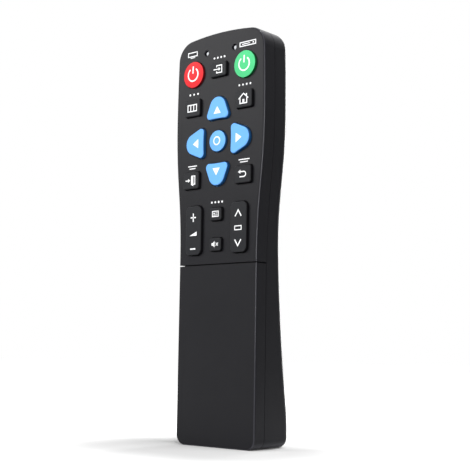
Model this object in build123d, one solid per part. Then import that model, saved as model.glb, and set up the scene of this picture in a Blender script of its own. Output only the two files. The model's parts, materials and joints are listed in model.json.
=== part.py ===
from build123d import *
import math
import os

# Universal remote control with a cover that slides down over its number pad.
# Lengths are in millimetres. X runs across the face, Z up the length, and the face looks to -Y.
# The remote stands on its flat foot. The origin is the middle of its box, at the foot.
# A depth is measured back from the face, and an inset is measured in from the outline.

os.makedirs("parts", exist_ok=True)

# Walls of the mouldings
WALL = 2.0
FACE_WALL = 1.8
COVER_WALL = 1.6
DECK_WALL = 1.2
DOOR_WALL = 1.5
TRAY_WALL = 0.7
BAY_WALL = 1.2
NECK_WALL = 1.5
SHELF_WALL = 1.5
NEST_WALL = 0.9
NEST_HEIGHT = 1.2
RIB_WALL = 1.2
RIB_HEIGHT = 3.0
RIB_COUNT = 5

# Fits
SLIDE_GAP = 0.3
KEY_GAP = 0.4
FLOAT = 0.15
SEAT_GAP = 0.2
PIN_GAP = 0.08
HOLE_GAP = 0.3
OVERRUN = 12.0

# Sizes of the front keys
POWER_R = 6.5
DOME_RISE = 0.5
INPUT_WIDTH = 10.2
INPUT_HEIGHT = 7.0
MENU_WIDTH = 10.0
MENU_HEIGHT = 8.3
SMALL_WIDTH = 7.2
SMALL_HEIGHT = 6.2
KEY_CORNER = 0.9
OK_R = 5.25
PAD_REACH = 10.3
PAD_SPREAD = 8.2
PAD_BASE = 14.4
PAD_RISE = 11.6
SIDE_BASE = 15.2
SIDE_RISE = 12.2
PAD_CORNER = 2.2
PAD_APEX = 5.3
SIDE_APEX = 5.4
PAD_HOLLOW = 0.5
ROCKER_WIDTH = 10.0
ROCKER_HEIGHT = 24.0
ROCKER_CORNER = 2.6
ROCKER_TILT = 3.0
FULCRUM_R = 1.2
FULCRUM_WIDTH = 5.0
ROCKER_PLUNGER_Z = 7.0

# Number pad under the cover
PAD_COLUMN = 13.0
PAD_ROW = 14.0
PAD_LOW = 26.0
PAD_WIDTH = 9.5
PAD_HEIGHT = 7.0

# Front half, from the face to the parting line, and the seam above the cover
FRONT_DEPTH = 7.5
PAD_CLEARANCE = 14.6
SEAM_Z = PAD_LOW + 3 * PAD_ROW + PAD_HEIGHT / 2 + PAD_CLEARANCE
SEAM_GAP = 0.6
SEAM_TONGUE = 1.2
PARTING_GROOVE = 0.25
HEAD_LOW = SEAM_Z + WALL + 2 * SEAM_GAP

# Heights of the front keys, each row over the one below it
MUTE_RISE = 9.4
SMALL_PITCH = 14.6
ROCKER_RISE = 4.9
BACK_GAP = 8.65
PAD_GAP = 6.15
MENU_GAP = 6.55
POWER_GAP = 6.35
LED_GAP = 3.3
CROWN_RISE = 9.2
MUTE_Z = SEAM_Z + MUTE_RISE
GUIDE_Z = MUTE_Z + SMALL_PITCH
ROCKER_Z = SEAM_Z + ROCKER_RISE + ROCKER_HEIGHT / 2
BACK_Z = ROCKER_Z + ROCKER_HEIGHT / 2 + BACK_GAP + MENU_HEIGHT / 2
PAD_CENTRE_Z = BACK_Z + MENU_HEIGHT / 2 + PAD_GAP + SIDE_BASE / 2
MENU_Z = PAD_CENTRE_Z + SIDE_BASE / 2 + MENU_GAP + MENU_HEIGHT / 2
POWER_Z = MENU_Z + MENU_HEIGHT / 2 + POWER_GAP + POWER_R
LED_Z = POWER_Z + POWER_R + LED_GAP
LENGTH = LED_Z + CROWN_RISE

# Columns of the front keys, each one beside the middle column
COLUMN_GAP = 5.0
ROCKER_GAP = 5.8
KEY_COLUMN = INPUT_WIDTH / 2 + COLUMN_GAP + POWER_R
ROCKER_COLUMN = SMALL_WIDTH / 2 + ROCKER_GAP + ROCKER_WIDTH / 2

# Outline of the face, round the keys
HEAD_MARGIN = 5.4
GRIP_MARGIN = 5.25
HEAD_WIDTH = 2 * (KEY_COLUMN + POWER_R + HEAD_MARGIN)
GRIP_WIDTH = 2 * (ROCKER_COLUMN + ROCKER_WIDTH / 2 + GRIP_MARGIN)
GRIP_RISE = 3.9
GRIP_TOP = SEAM_Z + GRIP_RISE
HEAD_RISE = 12.3
HEAD_Z = PAD_CENTRE_Z + HEAD_RISE
CROWN_TAPER = 0.8
CROWN_WIDTH = HEAD_WIDTH - 2 * CROWN_TAPER
CROWN_DROP = 2.6
FOOT_CORNER = 5.0
CROWN_CORNER = 10.0
EDGE_ROUND = 1.0
REAR_ROUND = 3.8
WAIST_SHARE = 0.5

# Keys
KEY_PROUD = 1.5
KEY_TRAVEL = 1.0
KEY_EDGE = 0.45
SOFT_EDGE = 0.8
PAD_PROUD = 1.0
PAD_TRAVEL = 0.8
FLANGE_WALL = 0.6
FLANGE_REACH = 0.8
COLLAR_WALL = 0.8
COLLAR_GAP = 0.45
PLUNGER = 4.0
PLUNGER_R = 2.4

# Layers behind the face, each one resting on the one before
COVER_HEADROOM = 0.6
BOARD_WALL = 1.0
SHEET_WALL = 0.6
DECK_DEPTH = COVER_WALL + COVER_HEADROOM + PAD_PROUD
SHEET_DEPTH = DECK_DEPTH + DECK_WALL + FLANGE_WALL + PAD_TRAVEL + 2 * FLOAT
BOARD_DEPTH = SHEET_DEPTH + SHEET_WALL
BOARD_BACK = BOARD_DEPTH + BOARD_WALL
TRAY_DEPTH = BOARD_BACK + FLOAT
COLLAR_DEPTH = FACE_WALL + FLANGE_WALL + KEY_TRAVEL + FLOAT + COLLAR_GAP
FULCRUM_DEPTH = SHEET_DEPTH - FLOAT - FULCRUM_R

# Two AAA cells, side by side behind the number pad
CELL_R = 5.25
CELL_BODY = 43.7
CELL_NUB_R = 1.9
CELL_NUB = 0.8
CELL_EDGE = 0.5
CELL_PITCH = 11.5
STRIP_WALL = 0.3
STRIP_HALF = 4.2
TAIL_HALF = 1.5
SPRING_LENGTH = 5.3
SPRING_R = 3.6
SPRING_TIP_R = 2.2
SPRING_PITCH = 1.7
WIRE_R = 0.3
DIMPLE = 0.5
DIMPLE_R = 1.6
CELL_LENGTH = CELL_BODY + CELL_NUB
CELL_DEPTH = TRAY_DEPTH + TRAY_WALL + FLOAT + CELL_R
BAY_LOW = WALL
BAY_TOP = BAY_LOW + 2 * STRIP_WALL + SPRING_LENGTH + CELL_LENGTH + DIMPLE
BAY_HALF = CELL_PITCH / 2 + CELL_R + SLIDE_GAP

# Back of the remote, as the depth of each part of its curve
BAY_BACK = CELL_DEPTH + CELL_R + SEAT_GAP + DOOR_WALL
HEEL_SWELL = 5.5
NECK_DRAW = 2.4
HEAD_SWELL = 0.2
HEEL_Z = 6.2
NECK_RISE = 2.9
HEEL_DEPTH = BAY_BACK + HEEL_SWELL
NECK_DEPTH = BAY_BACK - NECK_DRAW
HEAD_DEPTH = NECK_DEPTH + HEAD_SWELL
NECK_Z = ROCKER_Z + ROCKER_HEIGHT / 2 + NECK_RISE
HEEL_SHARE = 0.125
FACE_Y = (KEY_PROUD - HEEL_DEPTH) / 2

# Sliding cover and the deck that it closes
LIP_REACH = 1.1
LIP_WALL = 1.0
LIP_LOW = 8.0
LIP_DROP = 2.1
LIP_TOP = SEAM_Z - LIP_DROP
COVER_REST = 10.0
COVER_TRAVEL = LIP_TOP - LIP_LOW - COVER_REST
CATCH_HEIGHT = 1.0
CATCH_WIDTH = 2.0
CATCH_LENGTH = 1.6
DECK_INSET = COVER_WALL + SLIDE_GAP
NECK_INSET = COVER_WALL + LIP_REACH + 2 * SLIDE_GAP
GROOVE_DEPTH = FRONT_DEPTH - LIP_WALL - 2 * SLIDE_GAP
WELL_INSET = NECK_INSET + NECK_WALL

# Screws, bosses and pins
SCREW_R = 1.0
SCREW_HEAD_R = 1.9
SCREW_HEAD = 1.3
CROSS_WIDTH = 0.6
CROSS_DEPTH = 0.7
CASE_SCREW = 7.0
BAY_SCREW = 4.5
SCREW_FIT = 0.06
BOSS_R = 2.4
POST_R = 3.4
SEAT_WALL = 1.5
CASE_SCREW_RISE = 4.4
CASE_SCREW_X = ROCKER_COLUMN
CASE_SCREW_Z = ROCKER_Z + ROCKER_HEIGHT / 2 + CASE_SCREW_RISE
BAY_SCREW_X = PAD_COLUMN / 2
BAY_SCREW_Z = PAD_LOW + 2 * PAD_ROW + PAD_ROW / 2
PIN_R = 1.2
PIN_RISE = 3.7
UPPER_PIN_Z = PAD_CENTRE_Z + PAD_REACH + PAD_RISE + PIN_RISE
REST_R = 2.0
REST_INSET = 9.5
REST_DROP = 7.6
HEAD_REST_X = HEAD_WIDTH / 2 - REST_INSET
HEAD_REST_Z = LENGTH - REST_DROP
FOOT_REST_X = GRIP_WIDTH / 2 - REST_INSET
FOOT_REST_Z = 13.0
CASE_SEAT = BOARD_BACK + SEAT_WALL
BAY_SEAT = BOARD_BACK + SEAT_WALL
BOARD_GAP = 0.35

# Battery door
DOOR_HALF = 17.2
HINGE_R = 2.2
HINGE_Z = 11.2
DOOR_REACH = 17.1
DOOR_TOP = BAY_TOP + DOOR_REACH
HINGE_PIN_R = 1.0
HINGE_PIN = 1.5
CHEEK = 2.6
DOOR_RIB = 1.2
DOOR_RIB_HEIGHT = 1.8
LATCH_HALF = 4.0
LATCH_WALL = 1.2
LATCH_NIB = 0.6
LATCH_DROP = 2.4
LEDGE_WALL = 1.3
SCOOP_R = 9.0
SCOOP_DEPTH = 0.8
GRIP_LINES = 3
GRIP_PITCH = 2.2
GRIP_LINE = 0.9
GRIP_CUT = 0.4
GRIP_HALF = 6.0
GRIP_START = 8.0
POCKET_DROP = 2.0
POCKET_TOP = DOOR_TOP - POCKET_DROP

# Infrared end and indicator lights
LED_COLUMN = 9.0
LED_R = 1.4
LED_RIM_R = 1.7
LED_RIM = 0.8
LED_RECESS = 0.6
IR_R = 2.5
IR_BODY = 6.5
IR_RIM_R = 2.9
IR_RIM = 1.0
IR_DROP = 13.5
IR_LOW = LENGTH - IR_DROP
LEAD_R = 0.25
LEAD_X = 1.27
NOTCH_HALF = 4.0
WINDOW_HALF = 8.0
WINDOW_HEIGHT = 7.0
WINDOW_BRIM = 1.5
WINDOW_BRIM_WALL = 1.2
BRIM_DROP = 0.5
BRIM_TOP = LENGTH - WALL - BRIM_DROP
BRIM_CUT = WINDOW_HALF + WINDOW_BRIM + SLIDE_GAP

# Parts on the back of the circuit board
CHIP_WIDTH = 7.6
CHIP_LENGTH = 12.0
CHIP_HEIGHT = 1.9
CHIP_RISE = 4.3
CHIP_Z = PAD_CENTRE_Z + CHIP_RISE
CHIP_LEGS = 8
LEG_WIDTH = 0.45
LEG_REACH = 1.2
LEG_WALL = 0.3
CRYSTAL_WIDTH = 4.6
CRYSTAL_LENGTH = 10.5
CRYSTAL_HEIGHT = 3.4
CHIP_SIDE = 12.0
CRYSTAL_X = CHIP_SIDE
CAP_R = 2.5
CAP_LENGTH = 7.0
CAP_X = -CHIP_SIDE
CAP_DROP = 5.7
CAP_Z = PAD_CENTRE_Z - CAP_DROP


def slab(sketch, near, far):
    """Extrude a sketch of the face from one depth to a greater one."""
    plane = Plane(origin=(0, FACE_Y + far, 0), x_dir=(1, 0, 0), z_dir=(0, -1, 0))
    return extrude(plane * sketch, amount=far - near)


def beam(section, left, right):
    """Extrude a sketch of depth and height along X."""
    plane = Plane(origin=(left, FACE_Y, 0), x_dir=(0, 1, 0), z_dir=(1, 0, 0))
    return extrude(plane * section, amount=right - left)


def block(left, right, near, far, low, high):
    """A box between two places across, two depths and two heights."""
    width, rise = right - left, high - low
    return slab(Pos((left + right) / 2, (low + high) / 2) * Rectangle(width, rise), near, far)


def disc(x, z, radius):
    return Pos(x, z) * Circle(radius)


def s_curve(start, end, share):
    """Two arcs that leave both ends upright and meet on the chord, at a share of its length."""
    start, end = Vector(start), Vector(end)
    middle = start + (end - start) * share
    first = TangentArc(start, middle, tangent=(0, 1))
    return [first, TangentArc(middle, end, tangent=first % 1)]


def outline():
    """The face: a straight grip that widens to the head under a crowned top."""
    grip, head, crown = GRIP_WIDTH / 2, HEAD_WIDTH / 2, CROWN_WIDTH / 2
    crown_z = LENGTH - CROWN_DROP
    side = Curve() + [
        Line((grip, 0), (grip, GRIP_TOP)),
        *s_curve((grip, GRIP_TOP), (head, HEAD_Z), WAIST_SHARE),
        TangentArc((head, HEAD_Z), (crown, crown_z), tangent=(0, 1)),
    ]
    top = ThreePointArc((crown, crown_z), (0, LENGTH), (-crown, crown_z))
    foot = Line((-grip, 0), (grip, 0))
    face = make_face((side + mirror(side, Plane.YZ) + top + foot).edges())
    face = fillet(face.vertices().group_by(Axis.Y)[0], FOOT_CORNER)
    return fillet(face.vertices().group_by(Axis.Y)[-1], CROWN_CORNER)


def back_profile():
    """Depth against height: a deep heel, a slim neck and a slightly fuller head."""
    curve = Curve() + [
        Line((HEEL_DEPTH, -OVERRUN), (HEEL_DEPTH, HEEL_Z)),
        *s_curve((HEEL_DEPTH, HEEL_Z), (NECK_DEPTH, NECK_Z), HEEL_SHARE),
        *s_curve((NECK_DEPTH, NECK_Z), (HEAD_DEPTH, HEAD_Z), WAIST_SHARE),
        Line((HEAD_DEPTH, HEAD_Z), (HEAD_DEPTH, LENGTH + OVERRUN)),
        Polyline(
            (HEAD_DEPTH, LENGTH + OVERRUN),
            (-OVERRUN, LENGTH + OVERRUN),
            (-OVERRUN, -OVERRUN),
            (HEEL_DEPTH, -OVERRUN),
        ),
    ]
    return make_face(curve.edges())


OUTLINE = outline()
BACK_PROFILE = back_profile()


def inset(amount):
    """The outline moved in by an amount: its right half, and that half mirrored."""
    right_side = Pos(HEAD_WIDTH / 2, LENGTH / 2) * Rectangle(HEAD_WIDTH, LENGTH)
    right = offset(OUTLINE, -amount) & right_side
    return right + mirror(right, Plane.YZ)


def back_block(amount):
    """All that lies in front of the back, moved in by an amount."""
    profile = offset(BACK_PROFILE, -amount, kind=Kind.INTERSECTION) if amount else BACK_PROFILE
    return beam(profile, -HEAD_WIDTH, HEAD_WIDTH)


def housing(amount):
    """The whole remote as one block, with its walls moved in by an amount."""
    sheet = inset(amount) if amount else OUTLINE
    whole = slab(sheet, 0, HEEL_DEPTH + OVERRUN) & back_block(amount)
    edges = whole.edges().filter_by(Axis.Y, reverse=True)
    rear = edges.filter_by(lambda e: e.center().Y > FACE_Y + FRONT_DEPTH)
    across = rear.filter_by(Axis.X).filter_by(lambda e: e.center().Z > FOOT_CORNER)
    return fillet(rear - across, REAR_ROUND - amount)


def ring(outer, inner):
    """The band between two insets."""
    return inset(outer) - inset(inner)


def above(z):
    """A block that holds everything over a height."""
    return block(-HEAD_WIDTH, HEAD_WIDTH, -OVERRUN, HEEL_DEPTH + OVERRUN, z, LENGTH + OVERRUN)


def between(low, high):
    """A block that holds everything between two heights."""
    return block(-HEAD_WIDTH, HEAD_WIDTH, -OVERRUN, HEEL_DEPTH + OVERRUN, low, high)


def soft_triangle(base, rise, corner, apex):
    """A triangle on its base, with round corners and a slightly hollow base."""
    across, down = base / 2 - corner, corner + apex - rise
    lean = math.atan2(down, across) + math.acos((apex - corner) / math.hypot(across, down))
    reach = across * math.cos(lean) + corner * math.sin(lean) + corner
    foot, peak = reach / math.cos(lean), reach / math.sin(lean)
    hollow = ThreePointArc((-foot, 0), (0, PAD_HOLLOW), (foot, 0))
    sides = Polyline((foot, 0), (0, peak), (-foot, 0))
    shape = make_face((hollow + sides).edges())
    shape = fillet(shape.vertices().group_by(Axis.Y)[0], corner)
    return fillet(shape.vertices().sort_by(Axis.Y)[-1], apex)


def turned(shape, x, z, angle):
    return Pos(x, z) * Rot(0, 0, angle) * shape


def plain_key(x, z, width, height, corner=KEY_CORNER):
    return Pos(x, z) * RectangleRounded(width, height, corner)


def square_plunger(x, z):
    return Pos(x, z) * Rectangle(PLUNGER, PLUNGER)


up_shape = soft_triangle(PAD_BASE, PAD_RISE, PAD_CORNER, PAD_APEX)
side_shape = soft_triangle(SIDE_BASE, SIDE_RISE, PAD_CORNER, SIDE_APEX)
pad_tip = PAD_RISE / 2 - PAD_HOLLOW
pad_x = PAD_SPREAD + pad_tip
pad_z = PAD_REACH + pad_tip

# Each front key: its cap and the place of its plunger
square_keys = {
    "key_input": plain_key(0, POWER_Z, INPUT_WIDTH, INPUT_HEIGHT),
    "key_menu": plain_key(-KEY_COLUMN, MENU_Z, MENU_WIDTH, MENU_HEIGHT),
    "key_home": plain_key(KEY_COLUMN, MENU_Z, MENU_WIDTH, MENU_HEIGHT),
    "key_exit": plain_key(-KEY_COLUMN, BACK_Z, MENU_WIDTH, MENU_HEIGHT),
    "key_back": plain_key(KEY_COLUMN, BACK_Z, MENU_WIDTH, MENU_HEIGHT),
    "key_guide": plain_key(0, GUIDE_Z, SMALL_WIDTH, SMALL_HEIGHT),
    "key_mute": plain_key(0, MUTE_Z, SMALL_WIDTH, SMALL_HEIGHT),
}
pad_keys = {
    "key_up": (turned(up_shape, 0, PAD_CENTRE_Z + PAD_REACH, 0), 0, PAD_CENTRE_Z + pad_z),
    "key_down": (turned(up_shape, 0, PAD_CENTRE_Z - PAD_REACH, 180), 0, PAD_CENTRE_Z - pad_z),
    "key_left": (turned(side_shape, -PAD_SPREAD, PAD_CENTRE_Z, 90), -pad_x, PAD_CENTRE_Z),
    "key_right": (turned(side_shape, PAD_SPREAD, PAD_CENTRE_Z, -90), pad_x, PAD_CENTRE_Z),
}
round_keys = {
    "key_power_red": (-KEY_COLUMN, POWER_Z, POWER_R),
    "key_power_green": (KEY_COLUMN, POWER_Z, POWER_R),
    "key_ok": (0, PAD_CENTRE_Z, OK_R),
}
rockers = {"rocker_volume": -ROCKER_COLUMN, "rocker_channel": ROCKER_COLUMN}

# The number pad, read from its top row down
number_names = ["1", "2", "3", "4", "5", "6", "7", "8", "9", "dash", "0", "recall"]
number_keys = {}
for order, name in enumerate(number_names):
    column, row = order % 3 - 1, 3 - order // 3
    number_keys["number_" + name] = (column * PAD_COLUMN, PAD_LOW + row * PAD_ROW)


def pressed_in(cap, face, wall, proud, travel, plunger, edge):
    """A key: cap through the face, flange that holds it in, and a plunger over its contact."""
    flange = face + wall + FLOAT
    body = slab(cap, face - proud, flange + FLANGE_WALL)
    body = fillet(body.edges().group_by(Axis.Y)[0], edge)
    body += slab(offset(cap, FLANGE_REACH), flange, flange + FLANGE_WALL)
    return body + slab(plunger, flange + FLANGE_WALL, BOARD_DEPTH - travel - FLOAT)


def domed_key(x, z, radius):
    """A round key whose top is part of a large ball."""
    ball_r = (radius**2 + DOME_RISE**2) / (2 * DOME_RISE)
    flange = FACE_WALL + FLOAT
    cap = slab(disc(x, z, radius), -KEY_PROUD, flange)
    cap &= Pos(x, FACE_Y - KEY_PROUD + ball_r, z) * Sphere(ball_r)
    cap = fillet(cap.edges().filter_by(GeomType.CIRCLE).group_by(Axis.Y)[0], KEY_EDGE)
    cap += slab(disc(x, z, radius + FLANGE_REACH), flange, flange + FLANGE_WALL)
    return cap + slab(disc(x, z, PLUNGER_R), flange + FLANGE_WALL, BOARD_DEPTH - KEY_TRAVEL - FLOAT)


def rocker(x):
    """A long key that tilts on a round fulcrum and presses one of two contacts."""
    swing = math.radians(ROCKER_TILT)
    lift = (ROCKER_HEIGHT / 2 + FLANGE_REACH) * math.sin(swing)
    flange = FACE_WALL + FLOAT + lift
    cap = plain_key(x, ROCKER_Z, ROCKER_WIDTH, ROCKER_HEIGHT, ROCKER_CORNER)
    body = slab(cap, -KEY_PROUD, flange + FLANGE_WALL)
    body = fillet(body.edges().group_by(Axis.Y)[0], KEY_EDGE)
    body += slab(offset(cap, FLANGE_REACH), flange, flange + FLANGE_WALL)
    half = FULCRUM_WIDTH / 2
    low, high = ROCKER_Z - FULCRUM_R, ROCKER_Z + FULCRUM_R
    body += block(x - half, x + half, flange, FULCRUM_DEPTH, low, high)
    body += beam(Pos(FULCRUM_DEPTH, ROCKER_Z) * Circle(FULCRUM_R), x - half, x + half)
    press = (ROCKER_PLUNGER_Z + PLUNGER / 2) * math.sin(swing)
    for side in (-1, 1):
        plunger = square_plunger(x, ROCKER_Z + side * ROCKER_PLUNGER_Z)
        body += slab(plunger, flange, BOARD_DEPTH - press - FLOAT)
    return body


# Every cap, and every plunger on the front and under the deck
front_caps = list(square_keys.values())
front_caps += [cap for cap, x, z in pad_keys.values()]
front_caps += [disc(*place) for place in round_keys.values()]
for x in rockers.values():
    front_caps.append(plain_key(x, ROCKER_Z, ROCKER_WIDTH, ROCKER_HEIGHT, ROCKER_CORNER))
deck_caps = [plain_key(x, z, PAD_WIDTH, PAD_HEIGHT) for x, z in number_keys.values()]
square_plungers = [square_plunger(*tuple(cap.center())[:2]) for cap in square_keys.values()]
square_plungers += [square_plunger(x, z) for cap, x, z in pad_keys.values()]
round_plungers = [disc(x, z, PLUNGER_R) for x, z, radius in round_keys.values()]
rocker_plungers = []
for x in rockers.values():
    for side in (-1, 1):
        rocker_plungers.append(square_plunger(x, ROCKER_Z + side * ROCKER_PLUNGER_Z))
deck_plungers = [square_plunger(x, z) for x, z in number_keys.values()]

OUTER = fillet(housing(0).edges().group_by(Axis.Y)[0], EDGE_ROUND)
CAVITY = housing(WALL)
case_bosses = [(side * CASE_SCREW_X, CASE_SCREW_Z) for side in (-1, 1)]
bay_bosses = [(side * BAY_SCREW_X, BAY_SCREW_Z) for side in (-1, 1)]
rests = [(side * HEAD_REST_X, HEAD_REST_Z) for side in (-1, 1)]
foot_rests = [(side * FOOT_REST_X, FOOT_REST_Z) for side in (-1, 1)]
led_places = [(side * LED_COLUMN, LED_Z) for side in (-1, 1)]
pin_heights = (CASE_SCREW_Z, UPPER_PIN_Z)
window_mid = (BOARD_DEPTH + BOARD_BACK) / 2


def window_hole(gap):
    """The opening for the infrared window, through the top end."""
    half, height = WINDOW_HALF + gap, WINDOW_HEIGHT / 2 + gap
    shape = Pos(0, window_mid) * RectangleRounded(2 * half, 2 * height, height - FLOAT)
    plane = Plane(origin=(0, FACE_Y, LENGTH - OVERRUN), x_dir=(1, 0, 0), z_dir=(0, 0, 1))
    return extrude(plane * shape, amount=2 * OVERRUN)


def front_shell():
    """Face, sides and crown above the seam, and the sunk deck of the number pad below it."""
    seam = SEAM_Z + SEAM_GAP / 2
    front = block(-HEAD_WIDTH, HEAD_WIDTH, -OVERRUN, FRONT_DEPTH, -OVERRUN, LENGTH + OVERRUN)
    head = OUTER & front & above(seam)
    head -= slab(inset(WALL), FACE_WALL, FRONT_DEPTH) & above(seam + WALL)
    deck = slab(inset(DECK_INSET), DECK_DEPTH, GROOVE_DEPTH)
    deck += slab(inset(NECK_INSET), GROOVE_DEPTH, FRONT_DEPTH)
    tongue = slab(inset(DECK_INSET), COVER_WALL + SLIDE_GAP, DECK_DEPTH)
    deck += tongue & between(SEAM_Z - SEAM_TONGUE, seam + WALL)
    shell = head + (deck & between(-OVERRUN, seam + WALL))
    well = slab(inset(WELL_INSET), DECK_DEPTH + DECK_WALL, FRONT_DEPTH)
    shell -= well & between(-OVERRUN, seam + WALL + NECK_WALL)
    for z in pin_heights:
        shell += slab(disc(0, z, PIN_R), FACE_WALL, BOARD_BACK - SEAT_GAP)
        low, high = z - PIN_R / 2, z + PIN_R / 2
        rib = block(-HEAD_WIDTH, HEAD_WIDTH, FACE_WALL, FACE_WALL + RIB_HEIGHT, low, high)
        shell += rib & housing(WALL - FLOAT)
    for x, z in case_bosses:
        shell += slab(disc(x, z, BOSS_R), FACE_WALL, BOARD_DEPTH)
        shell -= slab(disc(x, z, SCREW_R + SCREW_FIT), FACE_WALL + SEAT_GAP, BOARD_DEPTH)
    for x, z in bay_bosses:
        shell += slab(disc(x, z, BOSS_R), DECK_DEPTH + DECK_WALL, BOARD_DEPTH)
        shell -= slab(disc(x, z, SCREW_R + SCREW_FIT), DECK_DEPTH + DECK_WALL, BOARD_DEPTH)
    for x, z in rests:
        shell += slab(disc(x, z, REST_R), FACE_WALL, BOARD_DEPTH)
    for x, z in foot_rests:
        shell += slab(disc(x, z, REST_R), DECK_DEPTH + DECK_WALL, BOARD_DEPTH)
    for side in (-1, 1):
        x = side * PAD_COLUMN / 2
        low = LIP_TOP - COVER_TRAVEL - 2 * CATCH_LENGTH
        left, right = x - CATCH_WIDTH / 2, x + CATCH_WIDTH / 2
        shell += block(left, right, DECK_DEPTH - CATCH_HEIGHT, DECK_DEPTH, low, low + CATCH_LENGTH)
    for cap in front_caps:
        shell -= slab(offset(cap, KEY_GAP), -OVERRUN, FACE_WALL)
    for cap in deck_caps:
        shell -= slab(offset(cap, KEY_GAP), -OVERRUN, DECK_DEPTH + DECK_WALL)
    for x, z in led_places:
        shell -= slab(disc(x, z, LED_R + FLOAT), -OVERRUN, FACE_WALL)
    return shell - window_hole(FLOAT)


def slide_cover():
    """Face, sides and foot of the lower half, with lips that run behind the deck's rails."""
    top = SEAM_Z - SEAM_GAP / 2
    back = FRONT_DEPTH - SLIDE_GAP
    lower = block(-HEAD_WIDTH, HEAD_WIDTH, -OVERRUN, back, -OVERRUN, top)
    cover = (OUTER & lower) - slab(inset(COVER_WALL), COVER_WALL, FRONT_DEPTH)
    lips = slab(ring(COVER_WALL - FLOAT, COVER_WALL + LIP_REACH), back - LIP_WALL, back)
    cover += lips & between(LIP_LOW, LIP_TOP)
    for side in (-1, 1):
        x = side * PAD_COLUMN / 2
        left, right = x - CATCH_WIDTH / 2, x + CATCH_WIDTH / 2
        far = COVER_WALL + CATCH_HEIGHT
        cover += block(left, right, COVER_WALL, far, LIP_TOP - CATCH_LENGTH, LIP_TOP)
    return cover


def back_depth(z):
    """Depth of the back at a height between the heel and the neck, on one of two arcs."""
    full, swell = NECK_Z - HEEL_Z, HEEL_DEPTH - NECK_DEPTH
    on_heel = z < HEEL_Z + full * HEEL_SHARE
    share = HEEL_SHARE if on_heel else 1 - HEEL_SHARE
    rise, drop = full * share, swell * share
    radius = (rise**2 + drop**2) / (2 * drop)
    along = z - HEEL_Z if on_heel else NECK_Z - z
    bend = radius - math.sqrt(radius**2 - along**2)
    return HEEL_DEPTH - bend if on_heel else NECK_DEPTH + bend


HINGE_DEPTH = back_depth(HINGE_Z) - HINGE_R
DEEP = HEEL_DEPTH + OVERRUN
LEDGE_INSET = DOOR_WALL + SEAT_GAP


def rear_wall(near, far):
    """The layer between two insets from the back."""
    return back_block(near) - back_block(far)


def hinge_bar(radius, half):
    """A bar along the door's hinge line."""
    return beam(Pos(HINGE_DEPTH, HINGE_Z) * Circle(radius), -half, half)


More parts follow.
